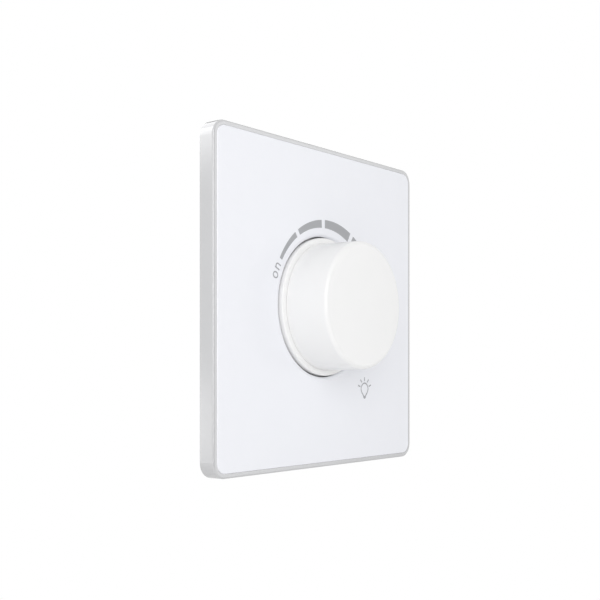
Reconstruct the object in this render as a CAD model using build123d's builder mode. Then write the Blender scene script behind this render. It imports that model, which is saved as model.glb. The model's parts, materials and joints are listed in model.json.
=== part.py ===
from build123d import *
import os
from math import cos, radians

# A rotary dimmer on a square wall plate. The wall is the plane Y = 0: the room lies towards -Y
# and the wall box towards +Y. Heights are measured from the wall towards the room, so a piece
# in the wall box has negative heights. Sizes are in millimetres, angles in degrees.

# Trim frame
plate_size = 86.0
plate_corner = 4.0
frame_depth = 4.45
lip_width = 1.2
lip_round = 0.45
flange_width = 5.0

# Front panel
panel_thickness = 1.7
panel_proud = 0.15
panel_gap = 0.03
panel_bevel = 0.15
hole_bevel = 0.2
hole_edge = 0.8
hole_relief = 1.4
collar_wall = 1.2
stiffener_thickness = 1.2
stiffener_spacing = 16.0
stiffener_gap = 0.6
post_radius = 1.9
post_margin = 5.0
barb_step = 0.5
barb_length = 2.2
barb_taper = 18.0
barb_gap = 0.25
post_slit = 0.9

# Mounting yoke
yoke_thickness = 1.2
yoke_margin = 2.8
yoke_corner = 3.0
fixing_pitch = 60.3
slot_width = 4.2
slot_length = 8.4
hole_clearance = 0.2

# Knob
knob_radius = 17.0
knob_draft = 0.25
knob_height = 13.5
knob_round = 1.2
knob_gap = 0.35
skirt_width = 1.5
skirt_rise = 0.7
skirt_drop = 0.3
skirt_round = 0.4
groove_width = 0.15
groove_depth = 0.15
knob_wall = 1.8
knob_top = 2.0
knob_inner_bevel = 1.0
knob_boss_radius = 6.5
knob_boss_gap = 0.6
knob_slit = 0.9
rib_count = 8
rib_thickness = 1.2
rib_root = 0.5
clip_thickness = 0.5
clip_height = 3.0
clip_inset = 0.6
clip_mouth = 3.0
clip_clearance = 0.05

# Rotary control
shaft_radius = 3.0
shaft_flat = 1.5
shaft_end_gap = 0.5
shaft_clearance = 0.03
socket_clearance = 0.04
stub_radius = 2.0
stub_flat = 1.4
stub_clearance = 0.5
bushing_radius = 4.5
bushing_over = 1.0
bushing_chamfer = 0.4
thread_clearance = 0.05
nut_across_flats = 11.0
nut_thickness = 2.2
nut_chamfer = 0.5
washer_radius = 6.8
washer_thickness = 0.6
washer_teeth = 10
washer_notch = 1.2
control_radius = 8.5
control_plate = 1.2
can_wall = 0.5
can_clearance = 0.05
ring_gap = 0.1
ring_thickness = 0.6
ring_radius = 4.2
ring_seat = 0.55
carrier_gap = 0.5
carrier_thickness = 1.7
carrier_radius = 6.6
knob_travel = 270.0
stop_tab_angle = 24.0
stop_tab_reach = 0.9
stop_depth = 1.1
stop_clearance = 1.0
wiper_sheet = 0.25
wiper_rise = 0.7
wiper_width = 1.6
contact_radius = 0.45
contact_gap = 0.05
track_radius = 5.9
collector_radius = 3.9
wafer_thickness = 1.0
wafer_tongue_width = 11.8
wafer_tongue_reach = 3.7
wafer_clearance = 0.1
track_pin_pitch = 5.0
track_pin_width = 0.8
track_pin_thickness = 0.5
track_pin_inset = 1.6

# On/off switch behind the track
case_wall = 1.0
switch_rotor_gap = 0.6
switch_rotor_thickness = 1.4
switch_rotor_radius = 6.8
pad_thickness = 0.4
pad_width = 1.2
outer_pad_radius = 6.1
inner_pad_radius = 4.1
off_angle = 30.0
pad_overrun = 10.0
switch_pin_radius = 0.5

# Module cover and housing
module_size = 52.0
module_corner = 2.5
cover_thickness = 1.8
cover_rim_depth = 2.0
cover_rim_wall = 1.2
cover_rim_gap = 0.15
peg_radius = 1.5
peg_place = 15.0
peg_short = 0.2
housing_wall = 1.8
housing_round = 1.2
chamber_gap = 0.6
screw_post_radius = 3.0
moulded_root = 0.6
screw_radius = 1.25
screw_head_radius = 2.4
screw_length = 8.0
screw_sunk = 0.1
screw_clearance = 0.05
screw_slot = 0.6
screw_slot_depth = 0.6
screw_end_gap = 1.0
ledge_width = 2.0
ledge_reach = 2.5
ledge_spacing = 16.0
vent_count = 6
vent_width = 1.6
vent_length = 8.0
vent_pitch = 5.0
vent_inset = 2.2

# Circuit board
board_thickness = 1.6
board_gap = 0.6
board_margin = 1.3
leg_width = 0.6
leg_trim = 0.8
leg_hole_radius = 0.65
leg_hole_sides = 6

# Wire terminals
terminal_pitch = 18.0
terminal_width = 7.6
terminal_height = 9.0
terminal_depth = 8.6
terminal_edge = 0.5
terminal_standoff = 0.4
terminal_recess = 3.2
terminal_foot_radius = 1.1
wire_bore_radius = 1.7
wire_bore_height = 6.2
terminal_pin_radius = 0.7
terminal_pin_inset = 2.3
terminal_pin_short = 0.3
terminal_spigot = 1.5
terminal_screw_radius = 1.5
terminal_head_radius = 2.6
terminal_head = 1.6
terminal_backed_out = 1.2
terminal_tip_gap = 0.2
terminal_wall_gap = 0.3
driver_slot = 0.8

# Power stage
sink_width = 26.0
sink_thickness = 1.5
sink_wing = 6.3
sink_headroom = 0.8
triac_width = 10.0
triac_lift = 0.3
tab_thickness = 1.3
tab_length = 15.5
tab_hole_inset = 2.8
triac_body_length = 9.0
triac_body_thickness = 3.2
triac_edge = 0.5
triac_lead_pitch = 2.54
triac_lead_reach = 1.0
triac_lead_gap = 0.6
triac_lead_step = 1.3
triac_lead_offset = 1.4
sink_screw_radius = 1.45
sink_screw_head_radius = 2.7
sink_screw_head = 2.2
sink_screw_past = 0.5
sink_screw_recess = 1.2
sink_screw_bevel = 0.7

# Filter and small components
filter_width = 7.0
filter_length = 18.0
filter_headroom = 1.2
filter_edge = 0.5
filter_leg_span = 15.0
choke_radius = 5.6
choke_hub_radius = 3.0
choke_flange = 1.4
choke_headroom = 1.4
choke_winding_gap = 0.1
choke_winding_inset = 0.5
choke_leg_span = 8.0
timing_width = 6.5
timing_thickness = 3.6
timing_height = 7.0
timing_edge = 1.2
timing_bevel = 0.6
timing_leg_span = 4.0
fuse_row_share = 0.37
resistor_row_share = 0.75
fuse_radius = 2.2
fuse_length = 12.0
fuse_cap_length = 2.5
fuse_cap_rise = 0.25
fuse_shift = -7.0
diac_radius = 0.95
diac_bevel = 0.4
diac_length = 4.0
diac_shift = 7.5
resistor_radius = 1.2
resistor_waist = 0.95
resistor_end = 1.6
resistor_length = 6.2
resistor_pitch = 12.6
resistor_count = 2
leg_reach = 1.2
lift = 0.1

# Heights of the stack, from the knob's face down to the back of the housing
panel_front = frame_depth + panel_proud
panel_seat = panel_front - panel_thickness
knob_face = panel_front + knob_height
knob_ceiling = knob_face - knob_top
skirt_top = panel_front + skirt_rise
skirt_bottom = panel_front - skirt_drop
washer_front = yoke_thickness + washer_thickness
nut_front = washer_front + nut_thickness
bushing_front = nut_front + bushing_over
knob_boss_bottom = bushing_front + knob_boss_gap
clip_bottom = knob_boss_bottom + clip_inset
rib_bottom = clip_bottom + clip_height + clip_inset
shaft_front = knob_ceiling - shaft_end_gap
cover_back = -cover_thickness
plate_back = cover_back - control_plate
ring_front = plate_back - ring_gap
ring_back = ring_front - ring_thickness
carrier_front = ring_back - carrier_gap
carrier_back = carrier_front - carrier_thickness
wiper_back = carrier_back - wiper_sheet
wafer_front = wiper_back - wiper_rise - contact_gap
wafer_back = wafer_front - wafer_thickness
can_back = wafer_back - can_wall
switch_rotor_front = can_back - switch_rotor_gap
switch_rotor_back = switch_rotor_front - switch_rotor_thickness
bridge_back = switch_rotor_back - wiper_sheet
pad_front = bridge_back - wiper_rise - contact_gap
pad_back = pad_front - pad_thickness
board_front = pad_back - case_wall
board_back = board_front - board_thickness
leg_tip = board_back - leg_trim
terminal_front = leg_tip - terminal_standoff
terminal_back = terminal_front - terminal_depth
housing_floor = terminal_back - terminal_recess
housing_back = housing_floor - housing_wall

# Widths and places that follow from the sizes above
frame_inner = plate_size - 2 * lip_width
inner_corner = plate_corner - lip_width
flange_opening = frame_inner - 2 * flange_width
panel_size = frame_inner - 2 * panel_gap
panel_corner = inner_corner - panel_gap
yoke_size = frame_inner - 2 * yoke_margin
skirt_radius = knob_radius + skirt_width
hole_radius = skirt_radius + knob_gap
collar_inner = hole_radius + hole_relief
collar_radius = collar_inner + collar_wall
knob_rim = knob_radius - knob_draft
knob_inner = knob_rim - knob_wall
post_spread = module_size + 2 * post_margin
post_shoulder = -barb_gap
barb_radius = post_radius + barb_step
post_hole_radius = post_radius + hole_clearance
can_inner = control_radius - can_wall
stub_hole_radius = stub_radius + stub_clearance
cavity = module_size - 2 * housing_wall
screw_post_place = cavity / 2 - screw_post_radius + moulded_root
screw_posts_at = [(screw_post_place, screw_post_place), (-screw_post_place, -screw_post_place)]
post_clear = screw_post_place - screw_post_radius - board_gap
board_size = cavity - 2 * board_gap
board_edge = board_size / 2
board_notch = board_edge - post_clear
board_notch_place = board_edge - board_notch / 2
board_notches_at = [(board_notch_place, board_notch_place), (-board_notch_place, -board_notch_place)]
screw_hole_radius = screw_radius + screw_clearance
terminal_head_front = -cavity / 2 + terminal_wall_gap
terminal_bottom = terminal_head_front + terminal_head + terminal_backed_out
terminal_middle = terminal_bottom + terminal_height / 2
terminal_pin_z = terminal_bottom + terminal_pin_inset
chamber_top = terminal_bottom + terminal_height + chamber_gap
wire_z = terminal_bottom + wire_bore_height
terminal_screw_height = terminal_front - terminal_depth / 2
terminal_places = [-terminal_pitch / 2, terminal_pitch / 2]
sink_outer = board_edge - board_margin
sink_inner = sink_outer - sink_thickness
sink_top = cover_back - sink_headroom
tab_front = sink_inner - tab_thickness
wing_inner = sink_width / 2 - sink_thickness
lead_room = triac_lead_gap + leg_width / 2 + triac_lead_reach + 2 * triac_lead_step
tab_start = lead_room - wing_inner
tab_hole_x = tab_start + tab_length - tab_hole_inset
triac_bottom = board_front + triac_lift
triac_middle = triac_bottom + triac_width / 2
triac_lead_z = tab_front - triac_lead_offset
triac_leads_at = [
    (tab_start - triac_lead_reach - order * triac_lead_step, triac_middle + (order - 1) * triac_lead_pitch)
    for order in range(3)
]
filter_x = -(board_edge - board_margin - filter_width / 2)
choke_x = board_edge - board_margin - choke_radius
timing_x = -(board_edge - board_margin - timing_width / 2)
track_pin_z = -(control_radius + wafer_tongue_reach - track_pin_inset)
row_field = board_edge + track_pin_z
fuse_row = track_pin_z - fuse_row_share * row_field
resistor_row = track_pin_z - resistor_row_share * row_field
timing_z = -(filter_length / 2 + board_margin + timing_thickness / 2)
fuse_axis = board_front + fuse_radius + fuse_cap_rise + lift
diac_axis = board_front + diac_radius + lift
resistor_axis = board_front + resistor_radius + lift
resistor_places = [(order - (resistor_count - 1) / 2) * resistor_pitch for order in range(resistor_count)]
track_pins_at = [(order * track_pin_pitch, track_pin_z) for order in (-1, 0, 1)]
switch_pins_at = [(inner_pad_radius, 0), (-outer_pad_radius, 0)]
filter_legs_at = [(filter_x, side * filter_leg_span / 2) for side in (-1, 1)]
choke_legs_at = [(choke_x, side * choke_leg_span / 2) for side in (-1, 1)]
timing_legs_at = [(timing_x + side * timing_leg_span / 2, timing_z) for side in (-1, 1)]
stop_angle = 360 - knob_travel - stop_tab_angle - 2 * stop_clearance
stop_tab_start = -90 - stop_angle / 2 - stop_clearance - stop_tab_angle


def level(height):
    """The plane parallel to the wall at a height, seen from the room: x to the right, y up."""
    return Plane.XZ.offset(height)


def turning(x=0, z=0):
    """The plane for a turned profile whose axis stands on the wall at x, z: x radius, y height."""
    return Plane(origin=(x, 0, z), x_dir=(1, 0, 0), z_dir=(0, 0, -1))


def lying(x, height, z):
    """The plane for a profile turned about a line along X: x along the line, y radius."""
    return Plane(origin=(x, -height, z), x_dir=(1, 0, 0), z_dir=(0, -1, 0))


def corner(sketch, x, y):
    """The vertex of a profile nearest to a point of its own plane."""
    return sketch.vertices().sort_by_distance((x, y, 0))[0]


def band(inner, outer, start, sweep):
    """A flat arc between two radii, from a start angle through a sweep."""
    with BuildSketch() as arc:
        with BuildLine():
            low = CenterArc((0, 0), inner, start, sweep)
            high = CenterArc((0, 0), outer, start, sweep)
            Line(low @ 0, high @ 0)
            Line(low @ 1, high @ 1)
        make_face()
    return arc.sketch


def open_ring(inner, outer, mouth):
    """A flat ring with a mouth cut through it at the bottom."""
    with BuildSketch() as ring:
        Circle(outer)
        Circle(inner, mode=Mode.SUBTRACT)
        with Locations((0, -outer)):
            Rectangle(mouth, 2 * outer, mode=Mode.SUBTRACT)
    return ring.sketch


def flatted(radius, flat):
    """A circle cut straight at a distance above its centre."""
    with BuildSketch() as shape:
        Circle(radius)
        with Locations((0, flat)):
            Rectangle(2 * radius, radius, align=(Align.CENTER, Align.MIN), mode=Mode.SUBTRACT)
    return shape.sketch


def bent_leg(end, hole, height):
    """A wire leg that leaves a component at x = end and turns down into the board at x = hole."""
    half = leg_width / 2
    outward = half if hole > end else -half
    with BuildSketch() as leg:
        with BuildLine():
            Polyline(
                (end, height + half),
                (hole + outward, height + half),
                (hole + outward, leg_tip),
                (hole - outward, leg_tip),
                (hole - outward, height - half),
                (end, height - half),
                close=True,
            )
        make_face()
    return leg.sketch


# Trim frame: a lip round the panel, and a flange that the panel clamps on the yoke
with BuildPart() as trim_frame:
    with BuildSketch(level(0)):
        RectangleRounded(plate_size, plate_size, plate_corner)
    extrude(amount=frame_depth)
    fillet(trim_frame.faces().sort_by(Axis.Y)[0].edges(), radius=lip_round)
    with BuildSketch(level(panel_seat)):
        RectangleRounded(frame_inner, frame_inner, inner_corner)
    extrude(amount=frame_depth - panel_seat, mode=Mode.SUBTRACT)
    with BuildSketch(level(0)):
        RectangleRounded(frame_inner, frame_inner, inner_corner)
    extrude(amount=yoke_thickness, mode=Mode.SUBTRACT)
    with BuildSketch(level(0)):
        RectangleRounded(flange_opening, flange_opening, inner_corner)
    extrude(amount=frame_depth, mode=Mode.SUBTRACT)

# Front panel: a thin edge round the knob, a collar that stands on the yoke, and four snap posts
with BuildPart() as front_panel:
    with BuildSketch(level(panel_seat)):
        RectangleRounded(panel_size, panel_size, panel_corner)
    extrude(amount=panel_thickness)
    chamfer(front_panel.faces().sort_by(Axis.Y)[0].edges(), length=panel_bevel)
    with BuildSketch(level(yoke_thickness)):
        Circle(collar_radius)
    extrude(amount=panel_seat - yoke_thickness)
    with BuildSketch(level(yoke_thickness + stiffener_gap)):
        with GridLocations(stiffener_spacing, 0, 2, 1):
            Rectangle(stiffener_thickness, flange_opening - 2 * stiffener_gap)
    extrude(amount=panel_seat - yoke_thickness - stiffener_gap)
    with BuildSketch(level(panel_seat)):
        Circle(hole_radius)
    extrude(amount=panel_thickness, mode=Mode.SUBTRACT)
    with BuildSketch(level(yoke_thickness)):
        Circle(collar_inner)
    extrude(amount=panel_front - hole_edge - yoke_thickness, mode=Mode.SUBTRACT)
    mouth = front_panel.edges().filter_by(GeomType.CIRCLE).group_by(Axis.Y)[0]
    chamfer(mouth.sort_by(lambda edge: edge.radius)[-1], length=hole_bevel)
    with BuildSketch(level(post_shoulder)):
        with GridLocations(post_spread, post_spread, 2, 2):
            Circle(post_radius)
    extrude(amount=panel_seat - post_shoulder)
    with BuildSketch(level(post_shoulder)):
        with GridLocations(post_spread, post_spread, 2, 2):
            Circle(barb_radius)
    extrude(amount=-barb_length, taper=barb_taper)
    with BuildSketch(level(post_shoulder - barb_length)):
        with GridLocations(post_spread, post_spread, 2, 2):
            Rectangle(post_slit, 2 * barb_radius + post_slit)
    extrude(amount=barb_length - post_shoulder + yoke_thickness, mode=Mode.SUBTRACT)

# Mounting yoke: a pressed steel plate with slots for the wall box's screws
with BuildPart() as mounting_yoke:
    with BuildSketch(level(0)):
        RectangleRounded(yoke_size, yoke_size, yoke_corner)
        Circle(bushing_radius + hole_clearance, mode=Mode.SUBTRACT)
        with GridLocations(fixing_pitch, 0, 2, 1):
            SlotOverall(slot_length, slot_width, mode=Mode.SUBTRACT)
        with GridLocations(post_spread, post_spread, 2, 2):
            Circle(post_hole_radius, mode=Mode.SUBTRACT)
        with Locations((0, peg_place)):
            Circle(peg_radius + hole_clearance, mode=Mode.SUBTRACT)
    extrude(amount=yoke_thickness)

# Knob: a hollow turned form with a grooved skirt, a boss with a D-shaped socket, and ribs between
with BuildPart() as knob:
    with BuildSketch(turning()) as knob_profile:
        with BuildLine():
            Polyline(
                (knob_inner, skirt_bottom),
                (skirt_radius, skirt_bottom),
                (skirt_radius, skirt_top),
                (knob_radius - groove_depth, skirt_top),
                (knob_radius - groove_depth, skirt_top + groove_width),
                (knob_radius, skirt_top + groove_width),
                (knob_rim, knob_face),
                (0, knob_face),
                (0, knob_ceiling),
                (knob_inner, knob_ceiling),
                close=True,
            )
        make_face()
        fillet(corner(knob_profile, skirt_radius, skirt_top), radius=skirt_round)
        fillet(corner(knob_profile, knob_rim, knob_face), radius=knob_round)
        chamfer(corner(knob_profile, knob_inner, knob_ceiling), length=knob_inner_bevel)
    revolve(axis=Axis.Y)
    with BuildSketch(level(rib_bottom)):
        with PolarLocations((knob_boss_radius + knob_inner) / 2, rib_count):
            Rectangle(knob_inner - knob_boss_radius + 2 * rib_root, rib_thickness)
    extrude(amount=knob_ceiling + rib_root - rib_bottom)
    with BuildSketch(level(knob_boss_bottom)):
        Circle(knob_boss_radius)
    extrude(amount=knob_ceiling + rib_root - knob_boss_bottom)
    with BuildSketch(level(knob_boss_bottom)):
        add(flatted(shaft_radius + socket_clearance, shaft_flat + socket_clearance))
    extrude(amount=knob_ceiling - knob_boss_bottom, mode=Mode.SUBTRACT)
    with BuildSketch(level(knob_boss_bottom)):
        Rectangle(2 * knob_boss_radius + knob_slit, knob_slit)
    extrude(amount=rib_bottom - knob_boss_bottom, mode=Mode.SUBTRACT)

with BuildPart() as knob_clip:
    with BuildSketch(level(clip_bottom)):
        clip_inner = knob_boss_radius + clip_clearance
        add(open_ring(clip_inner, clip_inner + clip_thickness, clip_mouth))
    extrude(amount=clip_height)

# Rotary control, from its nut in front of the yoke to its shaft
with BuildPart() as control_nut:
    with BuildSketch(level(washer_front)):
        RegularPolygon(nut_across_flats / 2, 6, major_radius=False)
    extrude(amount=nut_thickness)
    with BuildSketch(turning()):
        with BuildLine():
            nut_reach = nut_across_flats / 2 / cos(radians(30))
            Polyline(
                (nut_reach - nut_chamfer, nut_front),
                (nut_reach, nut_front),
                (nut_reach, nut_front - nut_chamfer),
                close=True,
            )
        make_face()
    revolve(axis=Axis.Y, mode=Mode.SUBTRACT)
    with BuildSketch(level(washer_front)):
        Circle(bushing_radius + thread_clearance)
    extrude(amount=nut_thickness, mode=Mode.SUBTRACT)

with BuildPart() as control_washer:
    with BuildSketch(level(yoke_thickness)):
        Circle(washer_radius)
        Circle(bushing_radius + hole_clearance, mode=Mode.SUBTRACT)
        with PolarLocations(washer_radius, washer_teeth):
            Rectangle(2 * washer_notch, washer_notch, mode=Mode.SUBTRACT)
    extrude(amount=washer_thickness)

with BuildPart() as control_bushing:
    with BuildSketch(turning()) as bushing_profile:
        with BuildLine():
            Polyline(
                (shaft_radius + shaft_clearance, plate_back),
                (can_inner - can_clearance, plate_back),
                (can_inner - can_clearance, cover_back),
                (bushing_radius, cover_back),
                (bushing_radius, bushing_front),
                (shaft_radius + shaft_clearance, bushing_front),
                close=True,
            )
        make_face()
        chamfer(corner(bushing_profile, bushing_radius, bushing_front), length=bushing_chamfer)
    revolve(axis=Axis.Y)

with BuildPart() as control_shaft:
    with BuildSketch(turning()) as shaft_profile:
        with BuildLine():
            Polyline(
                (0, pad_front + contact_gap),
                (stub_radius, pad_front + contact_gap),
                (stub_radius, carrier_front),
                (shaft_radius, carrier_front),
                (shaft_radius, ring_back - contact_gap),
                (shaft_radius - ring_seat, ring_back - contact_gap),
                (shaft_radius - ring_seat, ring_front + contact_gap),
                (shaft_radius, ring_front + contact_gap),
                (shaft_radius, shaft_front),
                (0, shaft_front),
                close=True,
            )
        make_face()
        chamfer(corner(shaft_profile, shaft_radius, shaft_front), length=bushing_chamfer)
    revolve(axis=Axis.Y)
    with BuildSketch(level(bushing_front + contact_gap)):
        with Locations((0, shaft_flat)):
            Rectangle(2 * shaft_radius, shaft_radius, align=(Align.CENTER, Align.MIN))
    extrude(amount=shaft_front - bushing_front, mode=Mode.SUBTRACT)
    with BuildSketch(level(pad_front)):
        with Locations((0, stub_flat)):
            Rectangle(2 * stub_radius, stub_radius, align=(Align.CENTER, Align.MIN))
    extrude(amount=carrier_front - pad_front, mode=Mode.SUBTRACT)

with BuildPart() as retaining_clip:
    with BuildSketch(level(ring_back)):
        ring_inner = shaft_radius - ring_seat + socket_clearance
        add(open_ring(ring_inner, ring_radius, ring_inner))
    extrude(amount=ring_thickness)

# The can's stop and the carrier's tab limit the turn
with BuildPart() as control_can:
    with BuildSketch(level(can_back)):
        Circle(control_radius)
        Circle(stub_hole_radius, mode=Mode.SUBTRACT)
    extrude(amount=cover_back - can_back)
    with BuildSketch(level(wafer_back)):
        Circle(can_inner)
    extrude(amount=cover_back - wafer_back, mode=Mode.SUBTRACT)
    with BuildSketch(level(carrier_back)):
        add(band(can_inner - stop_depth, can_inner + can_wall / 2, -90 - stop_angle / 2, stop_angle))
    extrude(amount=carrier_thickness)
    with BuildSketch(level(wafer_back)):
        with Locations((0, -control_radius)):
            Rectangle(wafer_tongue_width + 2 * wafer_clearance, control_radius)
    extrude(amount=wafer_thickness + wafer_clearance, mode=Mode.SUBTRACT)

with BuildPart() as wiper_carrier:
    with BuildSketch(level(carrier_back)):
        Circle(carrier_radius)
        add(band(carrier_radius / 2, carrier_radius + stop_tab_reach, stop_tab_start, stop_tab_angle))
        add(flatted(stub_radius + socket_clearance, stub_flat + socket_clearance), mode=Mode.SUBTRACT)
    extrude(amount=carrier_thickness)

with BuildPart() as wiper:
    with BuildSketch(level(wiper_back)):
        Circle(collector_radius + wiper_width / 2)
        with Locations((0, track_radius / 2)):
            Rectangle(wiper_width, track_radius)
        with Locations((0, track_radius)):
            Circle(wiper_width / 2)
        Circle(stub_hole_radius, mode=Mode.SUBTRACT)
    extrude(amount=wiper_sheet)
    with BuildSketch(level(wiper_back - wiper_rise)):
        with Locations((0, track_radius), (0, -collector_radius)):
            Circle(contact_radius)
    extrude(amount=wiper_rise)

with BuildPart() as track_wafer:
    with BuildSketch(level(wafer_back)):
        Circle(can_inner - can_clearance)
        with Locations((0, 0)):
            tongue_length = control_radius + wafer_tongue_reach
            Rectangle(wafer_tongue_width, tongue_length, align=(Align.CENTER, Align.MAX))
        Circle(stub_hole_radius, mode=Mode.SUBTRACT)
    extrude(amount=wafer_thickness)

with BuildPart() as track_pins:
    with BuildSketch(level(leg_tip)):
        with Locations(*track_pins_at):
            Rectangle(track_pin_width, track_pin_thickness)
    extrude(amount=wafer_back - leg_tip)

# On/off switch: the bridge runs off the outer pad at the knob's first stop
with BuildPart() as switch_case:
    with BuildSketch(level(board_front)):
        Circle(control_radius)
    extrude(amount=can_back - board_front)
    with BuildSketch(level(pad_back)):
        Circle(control_radius - case_wall)
    extrude(amount=can_back - pad_back, mode=Mode.SUBTRACT)
    with BuildSketch(level(board_front)):
        with Locations(*switch_pins_at):
            Circle(switch_pin_radius + contact_gap)
    extrude(amount=case_wall, mode=Mode.SUBTRACT)

with BuildPart() as switch_rotor:
    with BuildSketch(level(switch_rotor_back)):
        Circle(switch_rotor_radius)
        add(flatted(stub_radius + socket_clearance, stub_flat + socket_clearance), mode=Mode.SUBTRACT)
    extrude(amount=switch_rotor_thickness)

with BuildPart() as switch_bridge:
    with BuildSketch(level(bridge_back)):
        with Locations((0, (inner_pad_radius + outer_pad_radius) / 2)):
            SlotCenterToCenter(outer_pad_radius - inner_pad_radius, wiper_width, rotation=90)
    extrude(amount=wiper_sheet)
    with BuildSketch(level(bridge_back - wiper_rise)):
        with Locations((0, outer_pad_radius), (0, inner_pad_radius)):
            Circle(contact_radius)
    extrude(amount=wiper_rise)

with BuildPart() as switch_contacts:
    with BuildSketch(level(pad_back)):
        Circle(inner_pad_radius + pad_width / 2)
        Circle(inner_pad_radius - pad_width / 2, mode=Mode.SUBTRACT)
        outer_low = outer_pad_radius - contact_radius
        pad_sweep = knob_travel - off_angle + pad_overrun
        add(band(outer_low, outer_pad_radius + pad_width / 2, 90 - off_angle - pad_sweep, pad_sweep))
    extrude(amount=pad_thickness)
    with BuildSketch(level(leg_tip)):
        with Locations(*switch_pins_at):
            Circle(switch_pin_radius)
    extrude(amount=pad_back - leg_tip)

# Module cover and housing
with BuildPart() as module_cover:
    with BuildSketch(level(cover_back)):
        RectangleRounded(module_size, module_size, module_corner)
    extrude(amount=cover_thickness)
    with BuildSketch(level(cover_back - cover_rim_depth)):
        rim_reach = cavity / 2 - cover_rim_gap - cover_rim_wall / 2
        with PolarLocations(rim_reach, 4):
            Rectangle(cover_rim_wall, 2 * post_clear)
    extrude(amount=cover_rim_depth)
    with BuildSketch(level(0)):
        with Locations((0, peg_place)):
            Circle(peg_radius)
    extrude(amount=yoke_thickness - peg_short)
    with BuildSketch(level(cover_back)):
        Circle(bushing_radius + hole_clearance)
    extrude(amount=cover_thickness, mode=Mode.SUBTRACT)
    with Locations(level(0)):
        with Locations(*screw_posts_at):
            CounterSinkHole(
                radius=screw_hole_radius,
                counter_sink_radius=screw_head_radius + screw_clearance + screw_sunk,
                depth=cover_thickness,
                counter_sink_angle=90,
            )

with BuildPart() as module_housing:
    with BuildSketch(level(housing_back)):
        RectangleRounded(module_size, module_size, module_corner)
    extrude(amount=cover_back - housing_back)
    fillet(module_housing.faces().sort_by(Axis.Y)[-1].edges(), radius=housing_round)
    with BuildSketch(level(housing_floor)):
        Rectangle(cavity, cavity)
    extrude(amount=cover_back - housing_floor, mode=Mode.SUBTRACT)
    with BuildSketch(level(housing_floor)):
        with Locations(*screw_posts_at):
            Circle(screw_post_radius)
    extrude(amount=cover_back - housing_floor)
    with BuildSketch(level(housing_floor)):
        with GridLocations(cavity - ledge_reach + moulded_root, ledge_spacing, 2, 2):
            Rectangle(ledge_reach + moulded_root, ledge_width)
    extrude(amount=board_back - housing_floor)
    with BuildSketch(level(housing_back)):
        with Locations(*[(x, -module_size / 2) for x in terminal_places]):
            chamber_height = chamber_top + module_size / 2
            Rectangle(terminal_width + 2 * chamber_gap, chamber_height, align=(Align.CENTER, Align.MIN))
    extrude(amount=terminal_front - housing_back, mode=Mode.SUBTRACT)
    with BuildSketch(level(cover_back - screw_length - screw_end_gap)):
        with Locations(*screw_posts_at):
            Circle(screw_hole_radius)
    extrude(amount=screw_length + screw_end_gap, mode=Mode.SUBTRACT)
    for vent_wall in (-module_size / 2, module_size / 2 - housing_wall):
        with BuildSketch(Plane.XY.offset(vent_wall)):
            with Locations((0, -cover_back + cover_rim_depth + vent_inset + vent_length / 2)):
                with GridLocations(vent_pitch, 0, vent_count, 1):
                    Rectangle(vent_width, vent_length)
        extrude(amount=housing_wall, mode=Mode.SUBTRACT)

with BuildPart() as housing_screws:
    head_front = -screw_sunk
    for screw_x, screw_z in screw_posts_at:
        with BuildSketch(turning(screw_x, screw_z)):
            with BuildLine():
                Polyline(
                    (0, head_front),
                    (screw_head_radius, head_front),
                    (screw_radius, head_front - screw_head_radius + screw_radius),
                    (screw_radius, head_front - screw_length),
                    (0, head_front - screw_length),
                    close=True,
                )
            make_face()
        revolve(axis=Axis((screw_x, 0, screw_z), (0, 1, 0)))
    with BuildSketch(level(head_front - screw_slot_depth)):
        with Locations(*screw_posts_at):
            Rectangle(2 * screw_head_radius + screw_slot, screw_slot)
    extrude(amount=screw_slot_depth, mode=Mode.SUBTRACT)

# Circuit board, with a hole for each leg
with BuildPart() as circuit_board:
    with BuildSketch(level(board_back)):
        Rectangle(board_size, board_size)
        with Locations(*board_notches_at):
            Rectangle(board_notch, board_notch, mode=Mode.SUBTRACT)
        axial_holes = [
            (centre + side * (length / 2 + leg_reach), row)
            for centre, length, row in (
                (fuse_shift, fuse_length, fuse_row),
                (diac_shift, diac_length, fuse_row),
                *[(place, resistor_length, resistor_row) for place in resistor_places],
            )
            for side in (-1, 1)
        ]
        triac_holes = [(x, triac_lead_z) for x, height in triac_leads_at]
        pin_holes = track_pins_at + switch_pins_at + filter_legs_at + choke_legs_at + timing_legs_at
        with Locations(*axial_holes, *triac_holes, *pin_holes):
            RegularPolygon(leg_hole_radius, leg_hole_sides, rotation=30, mode=Mode.SUBTRACT)
        with Locations(*[(x, terminal_pin_z) for x in terminal_places]):
            Circle(terminal_pin_radius + contact_gap, mode=Mode.SUBTRACT)
    extrude(amount=board_thickness)

# Wire terminals: brass blocks on the back of the board, with their screws from below
terminals = {}
for terminal_name, terminal_x in zip(("terminal_live", "terminal_load"), terminal_places):
    with BuildPart() as terminal:
        with BuildSketch(level(terminal_back)):
            with Locations((terminal_x, terminal_middle)):
                Rectangle(terminal_width, terminal_height)
        extrude(amount=terminal_depth)
        chamfer(terminal.edges().filter_by(Axis.Y), length=terminal_edge)
        with BuildSketch(level(terminal_back)):
            with Locations((terminal_x, wire_z)):
                Circle(wire_bore_radius)
        extrude(amount=terminal_depth, mode=Mode.SUBTRACT)
        with BuildSketch(Plane.XY.offset(terminal_bottom)):
            with Locations((terminal_x, -terminal_screw_height)):
                Circle(terminal_screw_radius + thread_clearance)
        extrude(amount=wire_z - terminal_bottom, mode=Mode.SUBTRACT)
        with BuildSketch(level(terminal_front - terminal_spigot)):
            with Locations((terminal_x, terminal_pin_z)):
                Circle(terminal_pin_radius + contact_gap)
        extrude(amount=terminal_spigot, mode=Mode.SUBTRACT)
    terminals[terminal_name] = terminal

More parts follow.
